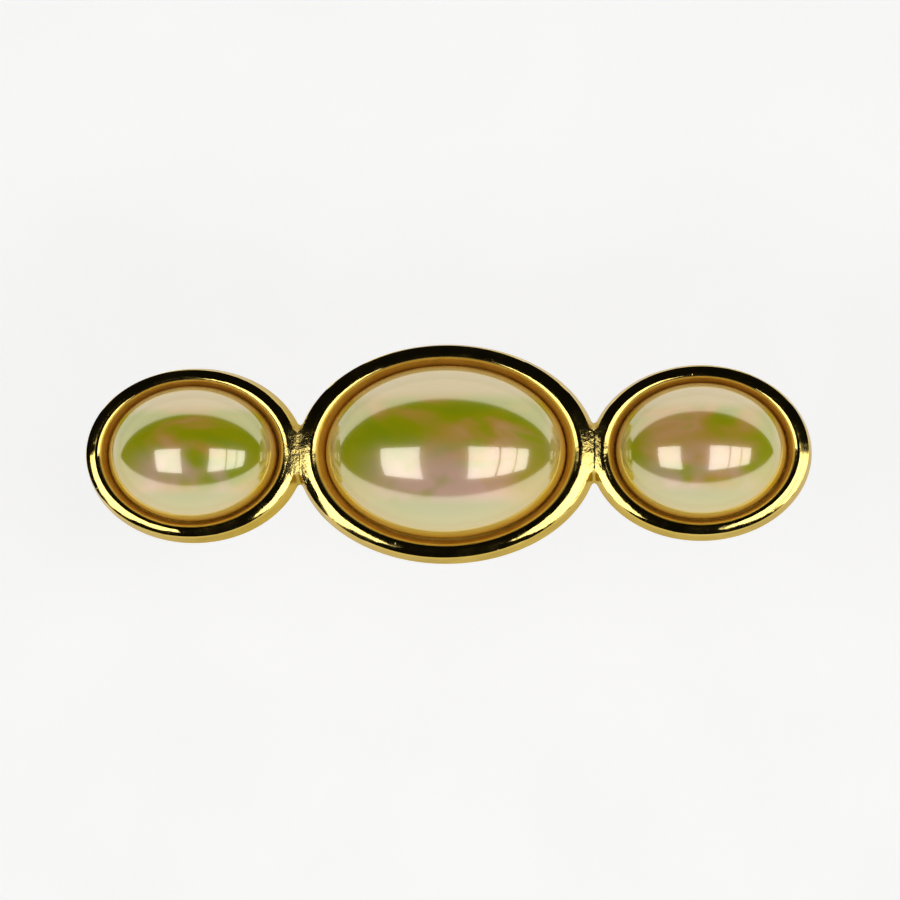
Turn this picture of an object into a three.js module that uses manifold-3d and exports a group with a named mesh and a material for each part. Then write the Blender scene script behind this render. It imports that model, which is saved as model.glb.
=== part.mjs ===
// Hair barrette: three oval cups in one casting, each holding a domed cabochon, over a snap clip.
// Millimetres. +X runs along the length, +Y up the decorative face, +Z out of that face.
// The clip is closed and the part lies on it, so z = 0 is the lowest point of the clip.

import * as THREE from "three";
import { mergeVertices } from "three/addons/utils/BufferGeometryUtils.js";
import Module from "manifold-3d";

const wasm = await Module();
wasm.setup();

// Casting
const BACK_Z = 11.03; // flat back of the middle cup
const BEND_X = 15.1; // line where a side cup turns away from the middle cup
const SIDE_TILT = THREE.MathUtils.degToRad(1.5);
const SIDE_REACH = 11.33; // from the bend line to the middle of a side cup
const FLOOR = 1.0; // thickness of metal under a cabochon
const FOOT = 0.15; // bevel along the bottom edge of a cup
const LIP_DEPTH = 1.0; // height of the sloped mouth above a cabochon's upright side
const RIM_STEPS = 4;
const CUP = {
  centre: {
    long: 1.37,
    base: 11.5,
    top: 11.05,
    ridge: 10.05,
    mouth: 9.6,
    seat: 9.2,
    edge: 3.05,
    crest: 3.3,
    lip: 2.9,
    around: 64,
  },
  side: {
    long: 1.255,
    base: 9.2,
    top: 8.78,
    ridge: 7.92,
    mouth: 7.5,
    seat: 7.2,
    edge: 2.95,
    crest: 3.18,
    lip: 2.8,
    around: 52,
  },
};
const BRIDGE = { inner: 13.8, outer: 17.0, neck: 15.35, half: 2.85, flare: 4.7, height: 2.9 };
const PAD = { radius: 2.1, into: 0.4, deep: 1.6 };

// Cabochons
const SEAT_GAP = 0.03; // bonding film between the back of a cabochon and its seat
const PEARL = {
  centre: { long: 1.389, half: 9.0, girdle: 1.15, dome: 6.2, around: 52 },
  side: { long: 1.245, half: 7.1, girdle: 1.05, dome: 5.45, around: 44 },
};
const DOME_STEPS = 9;
const PEARL_BEVEL = 0.25;

// Clip plate, waisted between its ends so that it stays behind the necks of the casting
const PLATE = { radius: 240, top: 11.0, thick: 0.6, half: 29.6, width: 7.4, corner: 2.2 };
const WAIST = { half: 2.55, to: 18.4, shoulder: 1.4 };
const EAR = { thick: 0.6, half: 2.1, foot: 1.0 };
const PLATE_RIVET = { x: 16.4, shank: 0.8, into: 1.5, head: 1.5, dome: 0.5 };

// Hinge
const PIN = { x: -27.5, z: 2.95, radius: 0.7, head: 1.05, headThick: 0.35 };
const BORE = 0.78; // radius of every hole that turns on the pin
const KNUCKLE = { outer: 1.35, from: 1.25, to: 2.85 };

// Closing arm: broad at the hinge, a slim shaft, then a broad head with a window for the prongs
const ARM = {
  under: 1.6,
  thick: 0.7,
  half: 1.9,
  hingeHalf: 2.85,
  hingeTo: -23.6,
  shaftFrom: -22.0,
  shaftTo: 19.5,
  headHalf: 4.7,
  headFrom: 23.2,
  headTo: 31.0,
  headCorner: 2.4,
  cheekX: 24.5,
  cheekHalf: 3.7,
  notch: -25.4,
};
const WINDOW = { from: 25.7, to: 29.3, half: 3.15, corner: 0.12 };

// Tension bar
const BAR = { thick: 0.35, half: 1.75, neck: 1.0, eye: 1.13, widen: -24.6, end: 21.2, tip: 1.6, steps: 34 };
const BAR_LINE = [
  [-27.5, 3.905],
  [-22, 4.12],
  [-14, 4.52],
  [-5, 4.78],
  [4, 4.5],
  [12, 3.62],
  [17, 2.8],
  [20, 2.54],
  [22.6, 2.95],
];

// Catch
const CATCH = { from: 21.4, to: 29.2, half: 2.9, corner: 1.2, thick: 0.5, gap: 0.03 };
const PRONG = { from: 26.1, to: 28.9, root: 8.04, inner: 2.25, outer: 2.75, barb: 3.45, barbZ: 1.5 };
const CATCH_RIVET = { x: 23.3, shank: 0.7, head: 1.25, flat: 0.28, dome: 0.45 };

const HOLE_GAP = 0.04; // radial room round a rivet
const BLANK = 6; // half width of a strip before it is cut to its plan
const CLEAR = 20; // height of a cutting tool, taller than the whole part
const ROUND = 24; // facets round a rivet or pin

function solid(geometry) {
  const bare = geometry.clone();
  bare.deleteAttribute("normal");
  bare.deleteAttribute("uv");
  const merged = mergeVertices(bare, 1e-4);
  const shape = new wasm.Mesh({
    numProp: 3,
    vertProperties: new Float32Array(merged.attributes.position.array),
    triVerts: new Uint32Array(merged.index.array),
  });
  return new wasm.Manifold(shape);
}

function unite(parts) {
  return parts.reduce((sum, part) => sum.add(part));
}

// A profile of [radius, height] turned about Z.
function turned(profile, around) {
  const points = profile.map(([r, h]) => new THREE.Vector2(r, h));
  return new THREE.LatheGeometry(points, around).rotateX(Math.PI / 2);
}

// An outline of [x, y] raised along Z from one height to another.
function raised(outline, low, high, holes = []) {
  const shape = new THREE.Shape(outline.map(([x, y]) => new THREE.Vector2(x, y)));
  for (const hole of holes) {
    shape.holes.push(new THREE.Path(hole.map(([x, y]) => new THREE.Vector2(x, y))));
  }
  const options = { depth: high - low, bevelEnabled: false, curveSegments: 8 };
  return new THREE.ExtrudeGeometry(shape, options).translate(0, 0, low);
}

// A side outline of [x, z] drawn out along Y.
function sideways(outline, fromY, toY) {
  return raised(outline, fromY, toY).applyMatrix4(
    new THREE.Matrix4().makeBasis(
      new THREE.Vector3(1, 0, 0),
      new THREE.Vector3(0, 0, 1),
      new THREE.Vector3(0, -1, 0),
    ),
  );
}

// An end outline of [y, z] drawn out along X.
function lengthways(outline, fromX, toX) {
  return raised(outline, fromX, toX).applyMatrix4(
    new THREE.Matrix4().makeBasis(
      new THREE.Vector3(0, 1, 0),
      new THREE.Vector3(0, 0, 1),
      new THREE.Vector3(1, 0, 0),
    ),
  );
}

// A cylinder that lies along Y.
function rod(x, z, radius, fromY, toY) {
  const bar = new THREE.CylinderGeometry(radius, radius, toY - fromY, ROUND);
  return bar.translate(x, (fromY + toY) / 2, z);
}

function roundedBox(fromX, toX, halfY, corner, steps = 6) {
  const centres = [
    [toX - corner, halfY - corner, 0],
    [fromX + corner, halfY - corner, 1],
    [fromX + corner, corner - halfY, 2],
    [toX - corner, corner - halfY, 3],
  ];
  return centres.flatMap(([x, y, quarter]) =>
    Array.from({ length: steps + 1 }, (_, i) => {
      const angle = ((quarter + i / steps) * Math.PI) / 2;
      return [x + corner * Math.cos(angle), y + corner * Math.sin(angle)];
    }),
  );
}

// One cup: flat back, drafted outer wall, low outer rim, tighter inner rim, sloped mouth, seat floor.
function cup(c) {
  const profile = [
    [0, 0],
    [c.base - FOOT, 0],
    [c.base, FOOT],
    [c.top, c.edge],
  ];
  for (let i = 1; i <= RIM_STEPS; i += 1) {
    const share = 1 - i / RIM_STEPS;
    profile.push([c.ridge + (c.top - c.ridge) * share, c.crest - (c.crest - c.edge) * share ** 2]);
  }
  for (let i = 1; i <= RIM_STEPS; i += 1) {
    const angle = (Math.PI * i) / (2 * RIM_STEPS);
    profile.push([
      c.ridge - (c.ridge - c.mouth) * Math.sin(angle),
      c.lip + (c.crest - c.lip) * Math.cos(angle),
    ]);
  }
  profile.push([c.seat, c.lip - LIP_DEPTH]);
  profile.push([c.seat, FLOOR]);
  profile.push([0, FLOOR]);
  return turned(profile, c.around).scale(c.long, 1, 1);
}

// One cabochon: flat back with a small bevel, upright girdle, elliptical dome.
function cabochon(p) {
  const low = FLOOR + SEAT_GAP;
  const profile = [
    [0, low],
    [p.half - PEARL_BEVEL, low],
    [p.half, low + PEARL_BEVEL],
  ];
  for (let i = 0; i < DOME_STEPS; i += 1) {
    const angle = (Math.PI * i) / (2 * DOME_STEPS);
    profile.push([p.half * Math.cos(angle), low + p.girdle + p.dome * Math.sin(angle)]);
  }
  profile.push([0, low + p.girdle + p.dome]);
  return turned(profile, p.around).scale(p.long, 1, 1);
}

// Places a cup or cabochon of a side cup, sign -1 for left and +1 for right.
function toSide(geometry, sign) {
  return geometry
    .translate(sign * SIDE_REACH, 0, 0)
    .rotateY(sign * SIDE_TILT)
    .translate(sign * BEND_X, 0, BACK_Z);
}

function toCentre(geometry) {
  return geometry.translate(0, 0, BACK_Z);
}

// Metal between two cups: waisted at the neck, flaring into both rims.
function bridge(sign) {
  const steps = 12;
  const edge = Array.from({ length: steps + 1 }, (_, i) => {
    const x = BRIDGE.inner + ((BRIDGE.outer - BRIDGE.inner) * i) / steps;
    const reach = x < BRIDGE.neck ? BRIDGE.neck - BRIDGE.inner : BRIDGE.outer - BRIDGE.neck;
    const away = Math.abs(x - BRIDGE.neck) / reach;
    return [x, BRIDGE.half + (BRIDGE.flare - BRIDGE.half) * away ** 2.2];
  });
  const outline = [...edge.map(([x, y]) => [x, -y]), ...edge.toReversed()];
  return raised(outline, 0.12, BRIDGE.height)
    .rotateZ(sign > 0 ? 0 : Math.PI)
    .translate(0, 0, BACK_Z);
}

// Height of the clip plate's upper face.
function plateTop(x) {
  return PLATE.top - PLATE.radius + Math.sqrt(PLATE.radius ** 2 - x ** 2);
}

// A strip that follows the plate's arch, between two depths under its upper face.
function arched(fromX, toX, above, below, steps) {
  const xs = Array.from({ length: steps + 1 }, (_, i) => fromX + ((toX - fromX) * i) / steps);
  const lower = xs.map((x) => [x, plateTop(x) - below]);
  const upper = xs.map((x) => [x, plateTop(x) - above]);
  return [...lower, ...upper.toReversed()];
}

// Stands a turned fastener on the plate's upper face, square to it.
function onPlate(geometry, x) {
  return geometry.rotateY(Math.asin(x / PLATE.radius)).translate(x, 0, plateTop(x));
}

function plateRivetHole(x) {
  const r = PLATE_RIVET.shank + HOLE_GAP;
  const profile = [
    [0, -3],
    [r, -3],
    [r, PLATE_RIVET.into + HOLE_GAP],
    [0, PLATE_RIVET.into + HOLE_GAP],
  ];
  return solid(onPlate(turned(profile, ROUND), x));
}

function buildFrame() {
  const plateRoom = solid(sideways(arched(-CLEAR, CLEAR, -HOLE_GAP, 4, 24), -BLANK, BLANK));
  const parts = [solid(toCentre(cup(CUP.centre)))];
  for (const sign of [-1, 1]) {
    parts.push(solid(toSide(cup(CUP.side), sign)));
    parts.push(solid(bridge(sign)));
    const pad = new THREE.CylinderGeometry(PAD.radius, PAD.radius, PAD.deep, ROUND);
    pad.rotateX(Math.PI / 2).translate(sign * PLATE_RIVET.x, 0, BACK_Z + PAD.into - PAD.deep / 2);
    parts.push(solid(pad).subtract(plateRoom));
  }
  const holes = [-1, 1].map((sign) => plateRivetHole(sign * PLATE_RIVET.x));
  return unite(parts).subtract(unite(holes));
}

function buildPlate() {
  const strip = solid(sideways(arched(-PLATE.half, PLATE.half, 0, PLATE.thick, 26), -BLANK, BLANK));
  const blank = solid(raised(roundedBox(-PLATE.half, PLATE.half, PLATE.width / 2, PLATE.corner), 0, CLEAR));
  const side = [
    [-WAIST.to, WAIST.half],
    [WAIST.to, WAIST.half],
    [WAIST.to + WAIST.shoulder, BLANK],
    [-WAIST.to - WAIST.shoulder, BLANK],
  ];
  const waist = [0, Math.PI].map((turn) => solid(raised(side, 0, CLEAR).rotateZ(turn)));
  const plan = blank.subtract(unite(waist));
  const earTop = plateTop(PIN.x) - PLATE.thick / 2;
  const ear = [
    [PIN.x - EAR.half, earTop],
    [PIN.x - EAR.half, EAR.foot + 0.4],
    [PIN.x - EAR.half * 0.82, EAR.foot * 0.45],
    [PIN.x - EAR.half * 0.5, 0],
    [PIN.x + EAR.half * 0.5, 0],
    [PIN.x + EAR.half * 0.82, EAR.foot * 0.45],
    [PIN.x + EAR.half, EAR.foot + 0.4],
    [PIN.x + EAR.half, earTop],
  ];
  const outer = PLATE.width / 2;
  const ears = [
    solid(sideways(ear.toReversed(), outer - EAR.thick, outer)),
    solid(sideways(ear.toReversed(), -outer, EAR.thick - outer)),
  ];
  const catchHole = new THREE.CylinderGeometry(
    CATCH_RIVET.shank + HOLE_GAP,
    CATCH_RIVET.shank + HOLE_GAP,
    4,
    ROUND,
  ).rotateX(Math.PI / 2);
  const holes = [
    plateRivetHole(-PLATE_RIVET.x),
    plateRivetHole(PLATE_RIVET.x),
    solid(onPlate(catchHole, CATCH_RIVET.x)),
    solid(rod(PIN.x, PIN.z, PIN.radius + HOLE_GAP, -5, 5)),
  ];
  return unite([strip.intersect(plan), ...ears]).subtract(unite(holes));
}

function buildPlateRivet(x) {
  const r = PLATE_RIVET;
  const under = -PLATE.thick - 0.03;
  const profile = [
    [0, under - r.dome],
    [r.head * 0.45, under - r.dome * 0.93],
    [r.head * 0.8, under - r.dome * 0.65],
    [r.head, under - r.dome * 0.2],
    [r.head, under],
    [r.shank, under],
    [r.shank, r.into],
    [0, r.into],
  ];
  return solid(onPlate(turned(profile, ROUND), x));
}

function buildCatchRivet() {
  const r = CATCH_RIVET;
  const under = -PLATE.thick - CATCH.gap - CATCH.thick - 0.03;
  const over = 0.03;
  const profile = [
    [0, under - r.dome],
    [r.head * 0.5, under - r.dome * 0.9],
    [r.head * 0.85, under - r.dome * 0.6],
    [r.head, under - r.dome * 0.15],
    [r.head, under],
    [r.shank, under],
    [r.shank, over],
    [r.head, over],
    [r.head, over + r.flat],
    [0, over + r.flat],
  ];
  return solid(onPlate(turned(profile, ROUND), r.x));
}

function buildPin() {
  const end = PLATE.width / 2 + 0.04;
  const profile = [
    [0, -end - PIN.headThick],
    [PIN.head * 0.7, -end - PIN.headThick],
    [PIN.head, -end - PIN.headThick * 0.4],
    [PIN.head, -end],
    [PIN.radius, -end],
    [PIN.radius, end],
    [PIN.head, end],
    [PIN.head, end + PIN.headThick * 0.4],
    [PIN.head * 0.7, end + PIN.headThick],
    [0, end + PIN.headThick],
  ];
  const points = profile.map(([r, y]) => new THREE.Vector2(r, y));
  return solid(new THREE.LatheGeometry(points, ROUND).translate(PIN.x, 0, PIN.z));
}

function buildArm() {
  const head = roundedBox(ARM.headFrom, ARM.headTo, ARM.headHalf, ARM.headCorner);
  const edge = [
    [PIN.x, ARM.hingeHalf],
    [ARM.hingeTo, ARM.hingeHalf],
    [ARM.shaftFrom, ARM.half],
    [ARM.shaftTo, ARM.half],
    [ARM.cheekX, ARM.cheekHalf],
  ];
  const shaft = [...edge.map(([x, y]) => [x, -y]), ...edge.toReversed()];
  const top = ARM.under + ARM.thick;
  const flat = solid(raised(shaft, ARM.under, top)).add(solid(raised(head, ARM.under, top)));
  const knuckles = [
    solid(rod(PIN.x, PIN.z, KNUCKLE.outer, -KNUCKLE.to, -KNUCKLE.from)),
    solid(rod(PIN.x, PIN.z, KNUCKLE.outer, KNUCKLE.from, KNUCKLE.to)),
  ];
  const notch = roundedBox(PIN.x - 2, ARM.notch, KNUCKLE.from, 0.6, 3);
  const cuts = [
    solid(raised(notch, 0, top + 1)),
    solid(raised(roundedBox(WINDOW.from, WINDOW.to, WINDOW.half, WINDOW.corner, 2), 0, top + 1)),
    solid(rod(PIN.x, PIN.z, BORE, -4, 4)),
  ];
  return unite([flat, ...knuckles]).subtract(unite(cuts));
}

function buildTensionBar() {
  const line = new THREE.CatmullRomCurve3(BAR_LINE.map(([x, z]) => new THREE.Vector3(x, 0, z)));
  const upper = [];
  const lower = [];
  for (let i = 0; i <= BAR.steps; i += 1) {
    const at = line.getPointAt(i / BAR.steps);
    const along = line.getTangentAt(i / BAR.steps);
    upper.push([at.x - (along.z * BAR.thick) / 2, at.z + (along.x * BAR.thick) / 2]);
    lower.push([at.x + (along.z * BAR.thick) / 2, at.z - (along.x * BAR.thick) / 2]);
  }
  const leaf = solid(sideways([...lower, ...upper.toReversed()], -BLANK, BLANK));
  const edge = [
    [PIN.x - 0.5, BAR.neck],
    [BAR.widen - 1, BAR.neck],
    [BAR.widen + 0.6, BAR.half],
    [BAR.end, BAR.half],
    [BAR.end + BAR.tip * 0.7, BAR.half * 0.75],
    [BAR.end + BAR.tip, 0],
  ];
  const plan = [...edge.map(([x, y]) => [x, -y]), ...edge.toReversed().slice(1)];
  const eye = solid(rod(PIN.x, PIN.z, BAR.eye, -BAR.neck, BAR.neck));
  const bore = solid(rod(PIN.x, PIN.z, BORE, -4, 4));
  return leaf
    .intersect(solid(raised(plan, 0, CLEAR)))
    .add(eye)
    .subtract(bore);
}

function buildCatchBase() {
  const above = PLATE.thick + CATCH.gap;
  const strip = solid(sideways(arched(CATCH.from, CATCH.to, above, above + CATCH.thick, 4), -BLANK, BLANK));
  const plan = solid(raised(roundedBox(CATCH.from, CATCH.to, CATCH.half, CATCH.corner, 4), 0, CLEAR));
  const hole = new THREE.CylinderGeometry(
    CATCH_RIVET.shank + HOLE_GAP,
    CATCH_RIVET.shank + HOLE_GAP,
    6,
    ROUND,
  ).rotateX(Math.PI / 2);
  return strip.intersect(plan).subtract(solid(onPlate(hole, CATCH_RIVET.x)));
}

// A prong, sign -1 on the front side and +1 on the rear side.
function buildProng(sign) {
  const p = PRONG;
  const outline = [
    [p.inner, p.root],
    [p.inner, 0.7],
    [p.inner - 0.15, 0.35],
    [p.inner - 0.15, 0],
    [p.outer - 0.15, 0],
    [p.outer + 0.1, 0.25],
    [p.barb, p.barbZ - 0.3],
    [p.barb, p.barbZ],
    [p.outer, p.barbZ],
    [p.outer, p.root],
  ];
  const made = lengthways(outline, p.from, p.to);
  return solid(sign > 0 ? made : made.rotateZ(Math.PI).translate(p.from + p.to, 0, 0));
}

function material(color, roughness, metalness) {
  return new THREE.MeshStandardMaterial({ color, roughness, metalness });
}

const part = new THREE.Group();

function show(name, made, look) {
  const mesh = made.getMesh();
  const geometry = new THREE.BufferGeometry();
  geometry.setAttribute("position", new THREE.BufferAttribute(mesh.vertProperties, 3));
  geometry.setIndex(new THREE.BufferAttribute(mesh.triVerts, 1));
  geometry.computeVertexNormals();
  const node = new THREE.Mesh(geometry, look);
  node.name = name;
  part.add(node);
}

show("bezel_frame", buildFrame(), material(0xd8b04a, 0.15, 1));
show("centre_cabochon", solid(toCentre(cabochon(PEARL.centre))), material(0xe9dcc0, 0.12, 0.1));
show("left_cabochon", solid(toSide(cabochon(PEARL.side), -1)), material(0xe9dcc0, 0.12, 0.1));
show("right_cabochon", solid(toSide(cabochon(PEARL.side), 1)), material(0xe9dcc0, 0.12, 0.1));
show("clip_plate", buildPlate(), material(0xb9bcc0, 0.3, 1));
show("plate_rivet_hinge_end", buildPlateRivet(-PLATE_RIVET.x), material(0xa8abb0, 0.3, 1));
show("plate_rivet_catch_end", buildPlateRivet(PLATE_RIVET.x), material(0xa8abb0, 0.3, 1));
show("hinge_pin", buildPin(), material(0x9a9da3, 0.25, 1));
show("closing_arm", buildArm(), material(0xb4b7bc, 0.3, 1));
show("tension_bar", buildTensionBar(), material(0x8e9298, 0.35, 1));
show("catch_base", buildCatchBase(), material(0xa2a5aa, 0.3, 1));
show("catch_prong_front", buildProng(-1), material(0xa2a5aa, 0.3, 1));
show("catch_prong_rear", buildProng(1), material(0xa2a5aa, 0.3, 1));
show("catch_rivet", buildCatchRivet(), material(0xa8abb0, 0.3, 1));

export default part;
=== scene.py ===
import math

import bmesh
import bpy
import numpy as np
from mathutils import Matrix, Vector


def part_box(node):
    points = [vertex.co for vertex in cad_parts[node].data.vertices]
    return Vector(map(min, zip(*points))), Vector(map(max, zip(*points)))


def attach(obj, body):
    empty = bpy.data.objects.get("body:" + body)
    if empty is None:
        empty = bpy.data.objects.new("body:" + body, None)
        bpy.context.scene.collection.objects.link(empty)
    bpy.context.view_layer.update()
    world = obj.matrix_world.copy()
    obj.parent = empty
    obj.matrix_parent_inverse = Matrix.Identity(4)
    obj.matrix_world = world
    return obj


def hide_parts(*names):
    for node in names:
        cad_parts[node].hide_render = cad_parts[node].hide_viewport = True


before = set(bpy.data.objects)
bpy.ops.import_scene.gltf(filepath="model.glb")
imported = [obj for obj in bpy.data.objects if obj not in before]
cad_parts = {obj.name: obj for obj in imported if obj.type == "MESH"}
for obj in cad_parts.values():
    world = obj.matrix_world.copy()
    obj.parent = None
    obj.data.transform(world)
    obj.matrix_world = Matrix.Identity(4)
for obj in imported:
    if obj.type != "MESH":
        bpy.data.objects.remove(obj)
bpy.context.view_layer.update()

MM = 0.001

# The cups of the casting, in millimetres, with the CAD's sizes except for the crest of the rim: "ridge"
# lies 0.13 to 0.15 further out. "run" is the distance along the arch from the middle, and "around" is
# the number of rays that a cup's surface is built on.
SIDE_CUP = dict(
    long=1.255, base=9.2, top=8.78, ridge=8.05, mouth=7.5, seat=7.2, edge=2.95, crest=3.18, lip=2.8,
    around=320,
)
CENTRE_CUP = dict(
    long=1.37, base=11.5, top=11.05, ridge=10.20, mouth=9.6, seat=9.2, edge=3.05, crest=3.3, lip=2.9,
    around=400,
)
SIDE_RUN = 26.43
CUPS = {
    "left": dict(SIDE_CUP, run=-SIDE_RUN, flare=(1.5, 1.5)),
    "centre": dict(CENTRE_CUP, run=0.0, flare=(0.8, 1.1)),
    "right": dict(SIDE_CUP, run=SIDE_RUN, flare=(1.4, 1.4)),
}
SIDE_PEARL = dict(long=1.245, half=7.1, girdle=1.05, dome=5.45)
PEARLS = {
    "left": dict(SIDE_PEARL, node="left_cabochon"),
    "centre": dict(node="centre_cabochon", long=1.389, half=9.0, girdle=1.15, dome=6.2),
    "right": dict(SIDE_PEARL, node="right_cabochon"),
}
FLOOR = 1.0  # metal under a cabochon
SEAT_GAP = 0.03
LIP_DEPTH = 1.0  # from the lip of a cup down to the foot of its sloping wall
BEND = 15.1  # run where the arch bends down into a side cup
BEND_LENGTH = 1.0
TILT = math.radians(1.5)  # of a side cup
NECK = 15.35  # run of the plane where two cups meet
JOIN = 0.75  # how widely two outlines melt together
BRIDGE_HALF = 2.36  # half breadth of the bridge at the neck
BRIDGE_FLARE = 0.25  # how fast it widens towards the cups
BRIDGE_REACH = 2.2  # how far the bridge runs into each cup
VALLEY = 2.78  # height of the bridge between two rims
FOOT = 0.15  # bevel along the bottom edge
DRAFT = 0.43  # how far the outer wall leans in from the outline
SHOULDER = 0.93  # breadth of the low outer part of the rim
FALL = 1.4  # how the rim falls outwards: 1 is straight, 2 is round
INNER_FALL, INNER_ROUND = 1.3, 0.35  # the same for the slope into the mouth, and its rounding
FALL_LIMIT = 4  # the fall of a rim stops counting at this many times its breadth
FLARE_ZONE = (0.7, 0.97)  # a rim's flare sets in between these, 0 being along Y and 1 along X
CHANGE = 1.0  # to each side of the neck plane, where the middle cup's heights pass into a side cup's
BACK_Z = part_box("centre_cabochon")[0].z / MM - FLOOR - SEAT_GAP  # the casting's flat back
WALL_BLEND, TOP_BLEND = 0.10, 0.05  # rounding between the outer wall and the rim
RIM_BLEND, VALLEY_BLEND = 0.1, 0.12  # rounding where two rims meet, and where they meet the valley
PAD_X, PAD_RADIUS, PAD_BEVEL = 16.4, 2.08, 0.12
PAD_GAP, PAD_SINK, PAD_LIP = 0.06, 0.3, 0.02  # above the plate, into the casting, and at the top edge
LEAN_FADE = 4  # per millimetre: how soon a pad's slanted foot turns level above
PLATE_RADIUS, PLATE_SLOPE = 240, 0.0683  # of the arched clip plate, the slope at PAD_X
PEARL_BEVEL, GIRDLE_ROWS, DOME_ROWS = 0.25, 4, 56
CLIP_BEVEL = 0.07
PAD_AROUND, PEARL_AROUND = 64, 160
SHARP, PEARL_SHARP = 35, 50  # degrees between two faces from which their edge stays sharp
SMALL = 1e-6  # added to a radius before it divides something
LEAST_SLOPE = 0.5  # keeps a distance finite near the middle of a cup
SAME_SPOT, NO_LENGTH = 1e-7, 1e-8  # metres: points that are merged, edges that are dissolved


# ---------- shape helpers ----------

def bent(s, y, h):
    """Points of the flat layout carried onto the arched casting, in metres."""
    side = np.sign(s)
    run = np.abs(s)
    start, end = BEND - BEND_LENGTH / 2, BEND + BEND_LENGTH / 2
    turn = np.clip((run - start) / BEND_LENGTH, 0, 1) * TILT
    radius = BEND_LENGTH / TILT
    x = np.minimum(run, start) + radius * np.sin(turn) + np.clip(run - end, 0, None) * math.cos(TILT)
    z = -radius * (1 - np.cos(turn)) - np.clip(run - end, 0, None) * math.sin(TILT)
    return np.stack([side * (x + h * np.sin(turn)), y, BACK_Z + z + h * np.cos(turn)], -1) * MM


def ease(value, low, high):
    part = np.clip((value - low) / (high - low), 0, 1)
    return part * part * (3 - 2 * part)


def smooth_min(a, b, width):
    near = np.clip(width - np.abs(a - b), 0, None) / width
    return np.minimum(a, b) - near * near * width / 4


def smooth_max(a, b, width):
    return -smooth_min(-a, -b, width)


def rise(s, y, cup):
    """Distance from the middle of a cup, scaled so that its outline is a circle."""
    return np.hypot((s - cup["run"]) / cup["long"], y)


def gap(s, y, cup):
    """Distance outside a cup's outline, negative inside it."""
    radius = rise(s, y, cup) + SMALL
    slope = np.hypot((s - cup["run"]) / cup["long"] ** 2, y) / radius
    return (radius - cup["base"]) / np.maximum(slope, LEAST_SLOPE)


def outside(s, y):
    """Below 0 inside the outline of the casting, above 0 outside it."""
    gaps = [gap(s, y, cup) for cup in CUPS.values()]
    away = np.abs(np.abs(s) - NECK)
    slope = np.hypot(1, 2 * BRIDGE_FLARE * away)
    bridge = (np.abs(y) - BRIDGE_HALF - BRIDGE_FLARE * away ** 2) / slope
    bridge = smooth_max(bridge, away - BRIDGE_REACH, JOIN)
    cups = smooth_min(smooth_min(gaps[0], gaps[1], JOIN), gaps[2], JOIN)
    return smooth_min(cups, bridge, JOIN)


def shared(s, key):
    """A cup dimension that passes smoothly from the centre cup's value to a side cup's."""
    part = ease(np.abs(s), NECK - CHANGE, NECK + CHANGE)
    return CENTRE_CUP[key] + (SIDE_CUP[key] - CENTRE_CUP[key]) * part


def edge_height(s, y):
    """Height of the outer wall and the low outer part of the rim, from the outline inwards."""
    deep = -outside(s, y)
    edge, crest = shared(s, "edge"), shared(s, "crest")
    wall = FOOT + (edge - FOOT) * np.clip(deep, 0, None) / DRAFT
    over = np.clip((deep - DRAFT) / SHOULDER, 0, 1)
    rim = crest - (crest - edge) * (1 - over) ** FALL
    return smooth_min(wall, rim, WALL_BLEND)


def rim_height(s, y, cup):
    """Height of one cup's own rim, falling away to both sides of its crest."""
    across = rise(s, y, cup) - cup["ridge"]
    down = np.clip(-across / (cup["ridge"] - cup["mouth"]), 0, 1)
    inner = (1 - down ** INNER_FALL) ** INNER_ROUND
    inner = cup["lip"] + (cup["crest"] - cup["lip"]) * inner
    aside = (s - cup["run"]) / cup["long"] / (rise(s, y, cup) + SMALL)
    left, right = cup["flare"]
    flare = 1 + (left - 1) * ease(-aside, *FLARE_ZONE) + (right - 1) * ease(aside, *FLARE_ZONE)
    fall = np.clip(across / (cup["top"] - cup["ridge"]) / flare, 0, FALL_LIMIT)
    outer = cup["crest"] - (cup["crest"] - cup["edge"]) * fall ** FALL
    return np.where(across < 0, inner, outer)


def top_height(s, y):
    """Height of the casting's upper face: the rims, the valleys between them and the outer wall."""
    rims = [rim_height(s, y, cup) for cup in CUPS.values()]
    ridge = smooth_max(smooth_max(rims[0], rims[1], RIM_BLEND), rims[2], RIM_BLEND)
    raised = smooth_max(ridge, np.full_like(s, VALLEY), VALLEY_BLEND)
    return smooth_min(raised, edge_height(s, y), TOP_BLEND)


HALVINGS = 40


def crossing(inside, low, high):
    """Halves the way between a point inside and one outside until they meet."""
    for _ in range(HALVINGS):
        middle = (low + high) / 2
        if inside(middle):
            low = middle
        else:
            high = middle
    return (low + high) / 2


def outline_reach(angle, cup):
    """How far from a cup's middle the casting's outline first lies along one ray."""
    def inside(q):
        s = cup["run"] + cup["long"] * q * math.cos(angle)
        return outside(np.array(s), np.array(q * math.sin(angle))) < 0

    step = 0.02
    reach = cup["mouth"]
    while inside(reach + step):
        reach += step
    return crossing(inside, reach, reach + step)


NECK_HALF = crossing(lambda y: outside(np.array(NECK), np.array(y)) < 0, 1.0, 5.0)
NECK_FINE = 0.72  # the points on the neck plane lie closer together from here to its edge
NECK_STEPS = np.concatenate([
    np.linspace(0, NECK_FINE, 12, endpoint=False),
    np.linspace(NECK_FINE, 1, 14),
])
NECK_YS = np.concatenate([-NECK_STEPS[:0:-1], NECK_STEPS]) * NECK_HALF
CROWDING = 0.35  # how much closer together the rays lie next to a neck


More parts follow.
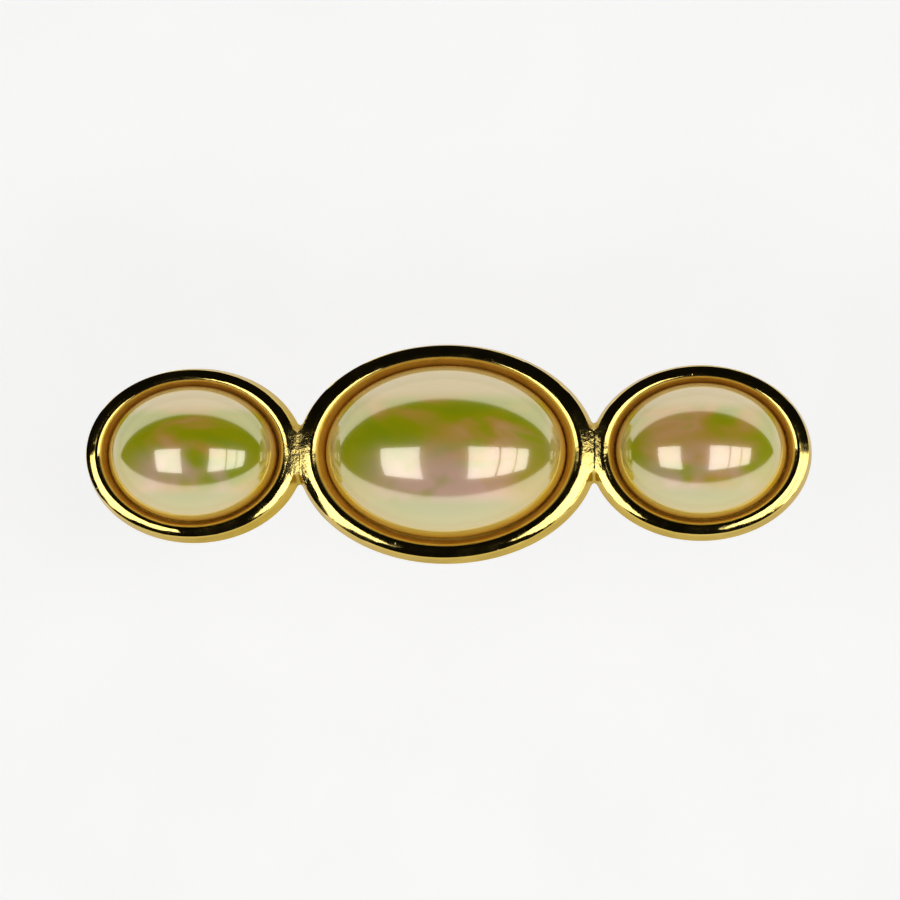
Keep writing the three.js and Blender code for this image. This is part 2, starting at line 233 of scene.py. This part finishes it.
def cup_rays(cup):
    """(angle, reach, y on the neck plane or None) for rays all round a cup."""
    planes = [NECK, -NECK] if cup["run"] == 0 else [math.copysign(NECK, cup["run"])]
    rays = []
    gaps = []
    for plane in planes:
        away = (plane - cup["run"]) / cup["long"]
        for y in NECK_YS:
            angle = math.atan2(y, away) % (2 * math.pi)
            rays.append((angle, math.hypot(y, away), y))
        reach = math.atan2(NECK_HALF, abs(away))
        centre = 0 if away > 0 else math.pi
        gaps.append((centre - reach, centre + reach))
    gaps.sort()
    for i, (_, end) in enumerate(gaps):
        start = gaps[(i + 1) % len(gaps)][0]
        while start <= end:
            start += 2 * math.pi
        number = round(cup["around"] * (start - end) / (2 * math.pi))
        part = np.linspace(0, 1, number + 2)[1:-1]
        part = part - CROWDING * np.sin(2 * math.pi * part) / (2 * math.pi)
        for angle in end + (start - end) * part:
            rays.append((angle % (2 * math.pi), outline_reach(angle, cup), None))
    return sorted(rays)


FLOOR_ROWS = (0.35, 0.97, 1)  # rows on the flat seat, as shares of its radius
SLOPE_ROWS = (0.2, 0.4, 0.6, 0.8, 0.93)  # rows on the sloping wall, from its foot to the lip
SEAT_ROWS = len(FLOOR_ROWS) + 1 + len(SLOPE_ROWS)
CREST_ROWS, WALL_ROWS = 30, 9
RECESS_EDGE = (-0.43, -0.30)  # the painted reflection in the mouth, gold reflected in gold, fades out here, measured from the crest
WALL_EDGE = (DRAFT * 0.7, DRAFT + 0.1)  # the wall's painted shade, a darker colour, and its extra roughness fade out here, from the outline inwards
WEB_RUN, WEB_BREADTH = 1.1, (1.8, 4.0)  # the rough cast patch on a bridge
RIGHT_WEB = 0.6  # the right bridge is smoother than the left


def cup_surface(cup, verts, faces, recess, wall, web):
    """Adds one cup of the casting, from its seat over the rim and down to its flat back."""
    rays = cup_rays(cup)
    angle = np.array([r[0] for r in rays])
    reach = np.array([r[1] for r in rays])
    share = (cup["top"] - cup["mouth"]) / (cup["base"] - cup["mouth"])
    steps = (1 - np.cos(np.linspace(0, math.pi, CREST_ROWS))) / 2 * share
    steps = np.concatenate([steps, np.linspace(share, 1, WALL_ROWS + 1)[1:]])
    rows = []

    def spot(radius):
        return cup["run"] + cup["long"] * radius * np.cos(angle), radius * np.sin(angle)

    def level_row(radius, height):
        rows.append((*spot(radius), np.full(len(rays), height)))

    foot = cup["lip"] - LIP_DEPTH
    for part in FLOOR_ROWS:
        level_row(part * cup["seat"], FLOOR)
    level_row(cup["seat"], foot)
    for part in SLOPE_ROWS:
        level_row(cup["seat"] + (cup["mouth"] - cup["seat"]) * part, foot + LIP_DEPTH * part)
    for step in steps:
        s, y = spot(cup["mouth"] + (reach - cup["mouth"]) * step)
        rows.append((s, y, top_height(s, y)))
    first = len(verts)
    for number, row in enumerate(rows):
        verts.extend(map(tuple, bent(*row)))
        across = rise(row[0], row[1], cup) - cup["ridge"]
        recess.extend(np.ones(len(rays)) if number < SEAT_ROWS else 1 - ease(across, *RECESS_EDGE))
        wall.extend(1 - ease(-outside(row[0], row[1]), *WALL_EDGE))
        near = np.exp(-((np.abs(row[0]) - NECK) / WEB_RUN) ** 2)
        near = near * (1 - ease(np.abs(row[1]), *WEB_BREADTH))
        web.extend(near * np.where(row[0] < 0, 1.0, RIGHT_WEB))
    n = len(rays)
    for r in range(len(rows) - 1):
        a, b = first + r * n, first + (r + 1) * n
        for i in range(n):
            j = (i + 1) % n
            faces.append((a + i, b + i, b + j, a + j))
    middle = len(verts)
    verts.append(tuple(bent(np.array(float(cup["run"])), np.array(0.0), np.array(FLOOR))))
    recess.append(1.0)
    wall.append(0.0)
    web.append(0.0)
    for i in range(n):
        faces.append((first + i, first + (i + 1) % n, middle))
    # bottom: a bevelled foot all round, then the flat back
    last = first + (len(rows) - 1) * n
    s, y = spot(reach - FOOT)
    for i, ray in enumerate(rays):
        if ray[2] is not None:
            s[i] = cup["run"] + cup["long"] * reach[i] * math.cos(angle[i])
            y[i] = np.clip(ray[2], FOOT - NECK_HALF, NECK_HALF - FOOT)
    ring = len(verts)
    verts.extend(map(tuple, bent(s, y, np.zeros(n))))
    back = len(verts)
    verts.append(tuple(bent(np.array(float(cup["run"])), np.array(0.0), np.array(0.0))))
    recess.extend([0.0] * (n + 1))
    wall.extend([1.0] * (n + 1))
    web.extend([0.0] * (n + 1))
    for i in range(n):
        j = (i + 1) % n
        faces.append((ring + j, ring + i, back))
        if rays[i][2] is None or rays[j][2] is None:
            faces.append((last + i, ring + i, ring + j, last + j))


def new_object(name, verts, faces, sharp=SHARP, masks=None):
    """A mesh object with welded points, outward faces, smooth shading and sharp edges."""
    mesh = bpy.data.meshes.new(name)
    mesh.from_pydata([tuple(v) for v in verts], [], faces)
    for key, values in (masks or {}).items():
        mask = mesh.attributes.new(key, "FLOAT", "POINT")
        mask.data.foreach_set("value", np.array(values, np.float32))
    mesh.validate()
    obj = bpy.data.objects.new(name, mesh)
    bpy.context.scene.collection.objects.link(obj)
    bm = bmesh.new()
    bm.from_mesh(mesh)
    bmesh.ops.remove_doubles(bm, verts=bm.verts, dist=SAME_SPOT)
    bmesh.ops.dissolve_degenerate(bm, dist=NO_LENGTH, edges=bm.edges)
    bmesh.ops.recalc_face_normals(bm, faces=bm.faces)
    limit = math.radians(sharp)
    for face in bm.faces:
        face.smooth = True
    for edge in bm.edges:
        edge.smooth = len(edge.link_faces) == 2 and edge.calc_face_angle(0) < limit
    bm.to_mesh(mesh)
    bm.free()
    return obj


def lathe(profile, count, long, place):
    """A closed profile of (radius, height), turned and stretched, through place(x, y, h)."""
    verts, faces = [], []
    turn = np.arange(count) * 2 * math.pi / count
    rings = profile[1:-1]
    verts.append(tuple(place(np.array(0.0), np.array(0.0), np.array(profile[0][1]))))
    for r, h in rings:
        verts.extend(map(tuple, place(r * long * np.cos(turn), r * np.sin(turn), np.full(count, h))))
    verts.append(tuple(place(np.array(0.0), np.array(0.0), np.array(profile[-1][1]))))
    for i in range(count):
        j = (i + 1) % count
        faces.append((0, 1 + j, 1 + i))
        for k in range(len(rings) - 1):
            a, b = 1 + k * count, 1 + (k + 1) * count
            faces.append((a + i, a + j, b + j, b + i))
        a = 1 + (len(rings) - 1) * count
        faces.append((a + i, a + j, len(verts) - 1))
    return verts, faces


# ---------- materials ----------

class Nodes:
    """A short way to write a node tree."""

    def __init__(self, name):
        self.material = bpy.data.materials.new(name)
        self.material.use_nodes = True
        self.tree = self.material.node_tree
        self.shader = self.tree.nodes["Principled BSDF"]
        self.place = self.add("ShaderNodeTexCoord").outputs["Object"]

    def add(self, kind, settings=None, **inputs):
        node = self.tree.nodes.new(kind)
        for key, value in (settings or {}).items():
            setattr(node, key, value)
        for key, value in inputs.items():
            self.put(node.inputs[key.replace("_", " ")], value)
        return node

    def put(self, socket, value):
        if isinstance(value, bpy.types.NodeSocket):
            self.tree.links.new(value, socket)
        else:
            socket.default_value = value

    def moved(self, scale, offset=(0, 0, 0), turn=(0, 0, 0)):
        node = self.add("ShaderNodeMapping", Vector=self.place)
        node.inputs["Scale"].default_value = scale
        node.inputs["Location"].default_value = offset
        node.inputs["Rotation"].default_value = turn
        return node.outputs["Vector"]

    def noise(self, scale, detail=3.0, rough=0.5, vector=None, warp=0.0):
        node = self.add(
            "ShaderNodeTexNoise", Scale=scale, Detail=detail, Roughness=rough, Distortion=warp,
            Vector=vector or self.place,
        )
        return node.outputs["Fac"]

    def mask(self, name):
        """A number painted on the mesh, 0 where the mesh has none."""
        return self.add("ShaderNodeAttribute", {"attribute_name": name}).outputs["Fac"]

    def ramp(self, value, stops):
        node = self.add("ShaderNodeValToRGB", Fac=value)
        points = node.color_ramp.elements
        while len(points) < len(stops):
            points.new(0.5)
        for point, (at, colour) in zip(points, stops):
            point.position = at
            point.color = (*colour, 1)
        return node.outputs["Color"]

    def level(self, value, low, high, to_low=0.0, to_high=1.0):
        node = self.add("ShaderNodeMapRange", {"interpolation_type": "SMOOTHSTEP"})
        for index, number in enumerate((value, low, high, to_low, to_high)):
            self.put(node.inputs[index], number)
        return node.outputs["Result"]

    def math(self, operation, a, b=0.0):
        node = self.add("ShaderNodeMath", {"operation": operation})
        self.put(node.inputs[0], a)
        self.put(node.inputs[1], b)
        return node.outputs[0]

    def mix(self, share, a, b):
        """Colour a where the share is 0, colour b where it is 1."""
        node = self.add("ShaderNodeMix", {"data_type": "RGBA"})
        self.put(node.inputs["Factor"], share)
        first, second, result = node.inputs[6], node.inputs[7], node.outputs[2]  # the colour sockets
        self.put(first, a if isinstance(a, bpy.types.NodeSocket) else (*a, 1))
        self.put(second, b if isinstance(b, bpy.types.NodeSocket) else (*b, 1))
        return result

    def bump(self, height, strength, distance, under=None):
        node = self.add("ShaderNodeBump", Height=height, Strength=strength, Distance=distance)
        if under:
            self.put(node.inputs["Normal"], under)
        return node.outputs["Normal"]

    def set(self, **values):
        for key, value in values.items():
            self.put(self.shader.inputs[key.replace("_", " ")], value)
        return self.material


def gold():
    """Polished on the rim; down in the mouth a painted reflection of the gold in itself, a deeper
    orange-gold kept bright in the mouth's shade, satin and less metallic; on the outer wall painted
    shade, a darker colour, and rougher.
    """
    n = Nodes("polished_gold_plate")
    recess, wall, web = n.mask("recess"), n.mask("wall"), n.mask("web")
    broad = n.noise(120.0, 2.0, 0.5)
    colour = n.ramp(broad, [(0.3, (0.84, 0.62, 0.16)), (0.7, (0.90, 0.71, 0.24))])
    worn = n.level(n.noise(900.0, 4.0, 0.6), 0.62, 0.78)
    colour = n.mix(n.math("MULTIPLY", worn, 0.35), colour, (0.95, 0.80, 0.36))
    # painted shade: the outer wall is coloured darker, for the shadowed floor it reflects close under
    # the casting
    shaded_wall = n.ramp(n.noise(260.0, 3.0, 0.5), [(0.3, (0.40, 0.28, 0.06)), (0.7, (0.54, 0.40, 0.10))])
    colour = n.mix(wall, colour, shaded_wall)
    # painted reflection: the mouth is coloured a deeper, redder gold for the gold reflected in itself,
    # kept bright in its shade
    mouth_reflection = n.ramp(n.noise(500.0, 3.0, 0.6), [(0.3, (0.84, 0.50, 0.05)), (0.7, (0.98, 0.66, 0.10))])
    colour = n.mix(recess, colour, mouth_reflection)
    rough = n.level(n.noise(420.0, 5.0, 0.6), 0.3, 0.75, 0.04, 0.12)
    rough = n.math("ADD", rough, n.math("MULTIPLY", recess, 0.26))
    rough = n.math("ADD", rough, n.math("MULTIPLY", wall, 0.12))
    rough = n.math("ADD", rough, n.math("MULTIPLY", web, 0.16))
    waves = n.bump(n.noise(330.0, 2.0, 0.5), 0.10, 0.0005)
    grain = n.bump(n.noise(2600.0, 4.0, 0.65), 0.04, 0.00006, waves)
    pits = n.level(n.noise(1500.0, 1.0, 0.4), 0.76, 0.80, 0.0, -1.0)
    nicks = n.bump(pits, 0.12, 0.0001, grain)
    cast = n.math("MULTIPLY", web, n.noise(950.0, 4.0, 0.6))
    nicks = n.bump(cast, 0.5, 0.00025, nicks)
    # less metallic in the mouth, so that its painted reflection colour also shows under diffuse light
    metal = n.math("SUBTRACT", 1.0, n.math("MULTIPLY", recess, 0.6))
    return n.set(
        Base_Color=colour, Metallic=metal, Roughness=rough, Normal=nicks,
        Specular_Tint=(0.90, 0.76, 0.42, 1),
    )


# OLIVE is the crown's own tone; the other colours here stand for light: a painted glow, and the painted
# reflections of the gold rim and of the white room
OLIVE, GLOW_PINK, RIM_REFLECTION_GOLD = (0.46, 0.50, 0.0), (1.0, 0.60, 0.50), (0.84, 0.46, 0.03)
UPPER_ROOM_REFLECTION, LOWER_ROOM_REFLECTION = (0.83, 0.635, 0.29), (0.48, 0.515, 0.165)
UPPER_AMBER, LOWER_AMBER = 0.0030, 0.0046  # how far the painted reflection of the gold rim reaches above the girdle


def pearl(name, offset, middle, half_x, half_y, edge_z):
    """The crown's olive tone with the coat's iridescent reflection painted in as green and pink streaks,
    a painted pink glow below the middle, a pale painted reflection of the white room on the flanks and
    tips, and a painted reflection of the gold rim at the edge.
    """
    n = Nodes(name)
    split = n.add("ShaderNodeSeparateXYZ", Vector=n.place)
    x, y, z = split.outputs["X"], split.outputs["Y"], split.outputs["Z"]
    # painted reflection: the coat's iridescent green and pink, laid as streaks over the crown's olive
    # tone
    streaks = n.noise(150.0, 2.5, 0.5, n.moved((0.62, 1.2, 1), offset), 0.5)
    sheen = n.ramp(streaks, [
        (0.38, (0.38, 0.47, 0.0)),
        (0.47, (0.50, 0.50, 0.0)),
        (0.53, (0.72, 0.46, 0.05)),
        (0.60, (0.90, 0.50, 0.18)),
        (0.68, (0.56, 0.54, 0.02)),
    ])
    along = n.math("DIVIDE", n.math("SUBTRACT", x, middle), half_x)
    ends = n.level(n.math("ABSOLUTE", along), 0.42, 0.86)
    sheen = n.mix(n.math("MULTIPLY", ends, 0.8), sheen, OLIVE)
    # painted glow: pink, lighter colour below the middle of the crown, for the soft haze round the
    # windows' highlights
    highlight_glow = n.level(y, half_y * 0.18, -half_y * 0.32)
    clouds = n.noise(190.0, 2.0, 0.5, n.moved((1, 1, 1), offset))
    highlight_glow = n.math("MULTIPLY", highlight_glow, n.level(clouds, 0.34, 0.58))
    highlight_glow = n.math("MULTIPLY", highlight_glow, n.level(n.math("ABSOLUTE", along), 0.85, 0.25))
    sheen = n.mix(n.math("MULTIPLY", highlight_glow, 0.85), sheen, GLOW_PINK)
    # painted reflection: the flanks and tips are coloured pale for the white room they reflect, the
    # upper side lighter and warmer than the lower
    flank = n.level(n.math("ABSOLUTE", y), half_y * 0.50, half_y * 0.68)
    flank = n.math("MAXIMUM", flank, n.level(n.math("ABSOLUTE", along), 0.80, 0.94))
    turn = half_y * 0.3
    room_reflection = n.mix(n.level(y, turn, -turn), UPPER_ROOM_REFLECTION, LOWER_ROOM_REFLECTION)
    sheen = n.mix(n.math("MULTIPLY", flank, 0.92), sheen, room_reflection)
    # painted reflection: the gold rim reflected in the pearl's low edge, reaching higher on the lower
    # side
    amber_height = n.level(y, turn, -turn, UPPER_AMBER, LOWER_AMBER)
    edge = n.level(n.math("SUBTRACT", z, edge_z), amber_height, 0.0)
    sheen = n.mix(n.math("MULTIPLY", edge, 0.92), sheen, RIM_REFLECTION_GOLD)
    waves = n.bump(n.noise(160.0, 1.0, 0.4), 0.08, 0.0006)
    lines = n.noise(2100.0, 2.0, 0.5, n.moved((0.12, 1, 1), turn=(0, 0, 0.9)))
    marks = n.bump(n.level(lines, 0.70, 0.76, 0.0, -1.0), 0.06, 0.00004, waves)
    return n.set(
        Base_Color=sheen, Roughness=0.17, IOR=2.6, Normal=marks, Coat_Weight=1.0, Coat_IOR=2.0,
        Coat_Roughness=0.035, Coat_Normal=waves, Specular_Tint=(1.0, 0.88, 0.60, 1),
    )


def steel(name, dark, light, rough_low, rough_high, lines):
    """Brushed or plain steel; the scale in lines stretches the brush marks along X."""
    n = Nodes(name)
    brushed = n.noise(900.0, 5.0, 0.6, n.moved(lines))
    colour = n.ramp(n.noise(200.0, 3.0, 0.5), [(0.3, dark), (0.7, light)])
    rough = n.level(brushed, 0.3, 0.7, rough_low, rough_high)
    grain = n.bump(brushed, 0.08, 0.0001)
    return n.set(Base_Color=colour, Metallic=1.0, Roughness=rough, Normal=grain)


GOLD = gold()
PEARL_LOOKS = {}
for name, shift in {
    "left": (0.013, 0.004, 0.0), "centre": (0.0, 0.0, 0.0), "right": (-0.021, 0.011, 0.0),
}.items():
    low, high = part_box(PEARLS[name]["node"])
    half = (high - low) / 2
    girdle = low.z + PEARLS[name]["girdle"] * MM
    PEARL_LOOKS[name] = pearl("pearl_" + name, shift, low.x + half.x, half.x, half.y, girdle)
STRIP = steel("nickel_strip", (0.34, 0.335, 0.32), (0.47, 0.465, 0.45), 0.16, 0.34, (0.06, 1, 1))
SPRING = steel("spring_leaf", (0.20, 0.205, 0.215), (0.30, 0.305, 0.31), 0.22, 0.42, (0.06, 1, 1))
RIVET = steel("rivet_steel", (0.40, 0.40, 0.40), (0.54, 0.54, 0.53), 0.14, 0.30, (1, 1, 1))


# ---------- pieces ----------

verts, faces, recess, wall, web = [], [], [], [], []
for name, cup in CUPS.items():
    cup_surface(cup, verts, faces, recess, wall, web)
cast = new_object("bezel_cast", verts, faces, masks={"recess": recess, "wall": wall, "web": web})
cast.data.materials.append(GOLD)
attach(cast, "front")
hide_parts("bezel_frame")


def pad(end, side):
    """The short round stud of the casting that a rivet holds to the clip plate."""
    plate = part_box("clip_plate")[1].z / MM - PLATE_RADIUS + math.sqrt(PLATE_RADIUS ** 2 - PAD_X ** 2)
    low, high = plate + PAD_GAP, BACK_Z + PAD_SINK
    profile = [
        (0, low),
        (PAD_RADIUS - PAD_BEVEL, low),
        (PAD_RADIUS, low + PAD_BEVEL),
        (PAD_RADIUS, high - PAD_LIP),
        (PAD_RADIUS - PAD_LIP, high),
        (0, high),
    ]

    def place(x, y, h):
        lean = side * x * PLATE_SLOPE * np.clip((BACK_Z - h) * LEAN_FADE, 0, 1)
        return np.stack([side * PAD_X + x, y, h - lean], -1) * MM

    obj = new_object("cast_pad_" + end, *lathe(profile, PAD_AROUND, 1.0, place))
    obj.data.materials.append(GOLD)
    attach(obj, "front")


def dome(name, p):
    """One faux pearl: a bevelled foot, a straight girdle and an oval dome."""
    low = FLOOR + SEAT_GAP
    top = low + p["girdle"]
    profile = [(0, low), (p["half"] - PEARL_BEVEL, low), (p["half"], low + PEARL_BEVEL)]
    for i in range(GIRDLE_ROWS):
        up = (p["girdle"] - PEARL_BEVEL) * (i + 1) / (GIRDLE_ROWS + 1)
        profile.append((p["half"], low + PEARL_BEVEL + up))
    for i in range(DOME_ROWS):
        angle = math.pi / 2 * i / DOME_ROWS
        profile.append((p["half"] * math.cos(angle), top + p["dome"] * math.sin(angle)))
    profile.append((0, top + p["dome"]))

    def place(x, y, h):
        return bent(CUPS[name]["run"] + x, y, h)

    obj = new_object(name + "_pearl", *lathe(profile, PEARL_AROUND, p["long"], place), PEARL_SHARP)
    obj.data.materials.append(PEARL_LOOKS[name])
    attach(obj, "front")
    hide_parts(p["node"])


pad("hinge_end", -1)
pad("catch_end", 1)
for name, p in PEARLS.items():
    dome(name, p)

for node, look in {
    "clip_plate": STRIP,
    "plate_rivet_hinge_end": RIVET,
    "plate_rivet_catch_end": RIVET,
    "hinge_pin": RIVET,
    "closing_arm": STRIP,
    "tension_bar": SPRING,
    "catch_base": STRIP,
    "catch_prong_front": STRIP,
    "catch_prong_rear": STRIP,
    "catch_rivet": RIVET,
}.items():
    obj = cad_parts[node]
    obj.data.materials.clear()
    obj.data.materials.append(look)
    bevel = obj.modifiers.new("edge", "BEVEL")
    bevel.width = CLIP_BEVEL * MM
    bevel.segments = 2
    bevel.limit_method = "ANGLE"
    bevel.angle_limit = math.radians(SHARP)
    bevel.harden_normals = False


# ---------- floor, light, camera ----------

FLOOR_HALF, ROOM_UNDER_ARM = 3.0, 0.003
CEILING_LEAN, CEILING_GLOW, ROOM_GLOW = 5, 0.004, 1.1
CEILING_EDGE = (48, 53)  # degrees from the middle of the ceiling where it turns into the white walls
WINDOW_HEIGHT, WINDOW_RADIANCE = 2.5, 2.3
WINDOW_DEPTH = (-0.50, 0.10)  # tangents along Y that every window fills
WINDOWS = {
    "window_left": (-0.77, -0.26),
    "window_right_a": (0.17, 0.50),
    "window_right_b": (0.53, 0.80),
    "window_right_c": (0.83, 1.20),
}


def floor():
    """A pale table, low enough for the closing arm to swing fully open above it."""
    hinge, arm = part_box("hinge_pin"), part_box("closing_arm")
    level = hinge[0].z - (arm[1].x - hinge[0].x) - ROOM_UNDER_ARM
    corners = [(x * FLOOR_HALF, y * FLOOR_HALF, level) for x, y in ((-1, -1), (1, -1), (1, 1), (-1, 1))]
    obj = new_object("floor", corners, [(0, 1, 2, 3)])
    n = Nodes("white_paper")
    tone = n.ramp(n.noise(60.0, 3.0, 0.5), [(0.2, (0.52, 0.52, 0.52)), (0.8, (0.56, 0.56, 0.56))])
    paper = n.set(Base_Color=tone, Roughness=0.9, Emission_Color=(1, 1, 1, 1), Emission_Strength=0.62)
    obj.data.materials.append(paper)


def surroundings():
    """A white room with a dark ceiling: the ceiling is a wide strip along X."""
    world = bpy.data.worlds.new("room")
    bpy.context.scene.world = world
    world.use_nodes = True
    tree = world.node_tree
    add = tree.nodes.new
    place = add("ShaderNodeTexCoord")
    split = add("ShaderNodeSeparateXYZ")
    tree.links.new(place.outputs["Generated"], split.inputs[0])
    lean = add("ShaderNodeMath")
    lean.operation = "ARCTAN2"
    tree.links.new(split.outputs["Y"], lean.inputs[0])
    tree.links.new(split.outputs["Z"], lean.inputs[1])
    middle = add("ShaderNodeMath")
    middle.operation = "SUBTRACT"
    tree.links.new(lean.outputs[0], middle.inputs[0])
    middle.inputs[1].default_value = math.radians(CEILING_LEAN)
    wide = add("ShaderNodeMath")
    wide.operation = "ABSOLUTE"
    tree.links.new(middle.outputs[0], wide.inputs[0])
    ramp = add("ShaderNodeMapRange")
    ramp.interpolation_type = "SMOOTHSTEP"
    tree.links.new(wide.outputs[0], ramp.inputs[0])
    edge = [math.radians(angle) for angle in CEILING_EDGE]
    for index, number in enumerate((*edge, CEILING_GLOW, ROOM_GLOW)):
        ramp.inputs[index + 1].default_value = number
    shade = tree.nodes["Background"]
    shade.inputs["Color"].default_value = (1.0, 0.985, 0.96, 1)
    tree.links.new(ramp.outputs[0], shade.inputs["Strength"])


def window(name, low, high):
    """A flat light overhead that fills those tangents along X, seen from the object."""
    near, far = WINDOW_DEPTH
    light = bpy.data.lights.new(name, "AREA")
    light.shape = "RECTANGLE"
    light.size = (high - low) * WINDOW_HEIGHT
    light.size_y = (far - near) * WINDOW_HEIGHT
    light.energy = WINDOW_RADIANCE * math.pi * light.size * light.size_y
    obj = bpy.data.objects.new(name, light)
    middle = Vector(((low + high) / 2, (near + far) / 2, 1))
    obj.location = middle * WINDOW_HEIGHT
    bpy.context.scene.collection.objects.link(obj)


def camera():
    """A long lens nearly straight above, a little to the right and below the middle."""
    data = bpy.data.cameras.new("camera")
    obj = bpy.data.objects.new("camera", data)
    bpy.context.scene.collection.objects.link(obj)
    distance, field = 0.40, 0.0933  # metres: from the lens to the aim, and the breadth seen there
    aside, below = math.radians(3.5), math.radians(5.5)
    aim = Vector((0.00050, 0.00014, 0.0140))
    back = Vector((math.tan(aside), -math.tan(below), 1)).normalized()
    right = Vector((0, 1, 0)).cross(back).normalized()
    up = back.cross(right)
    obj.matrix_world = Matrix((right, up, back)).transposed().to_4x4()
    obj.location = aim + back * distance
    data.sensor_width = 36
    data.lens = data.sensor_width * distance / field
    data.clip_start, data.clip_end = 0.01, 10
    bpy.context.scene.camera = obj


floor()
surroundings()
for name, (low, high) in WINDOWS.items():
    window(name, low, high)
camera()
bpy.context.scene.view_settings.view_transform = "Standard"
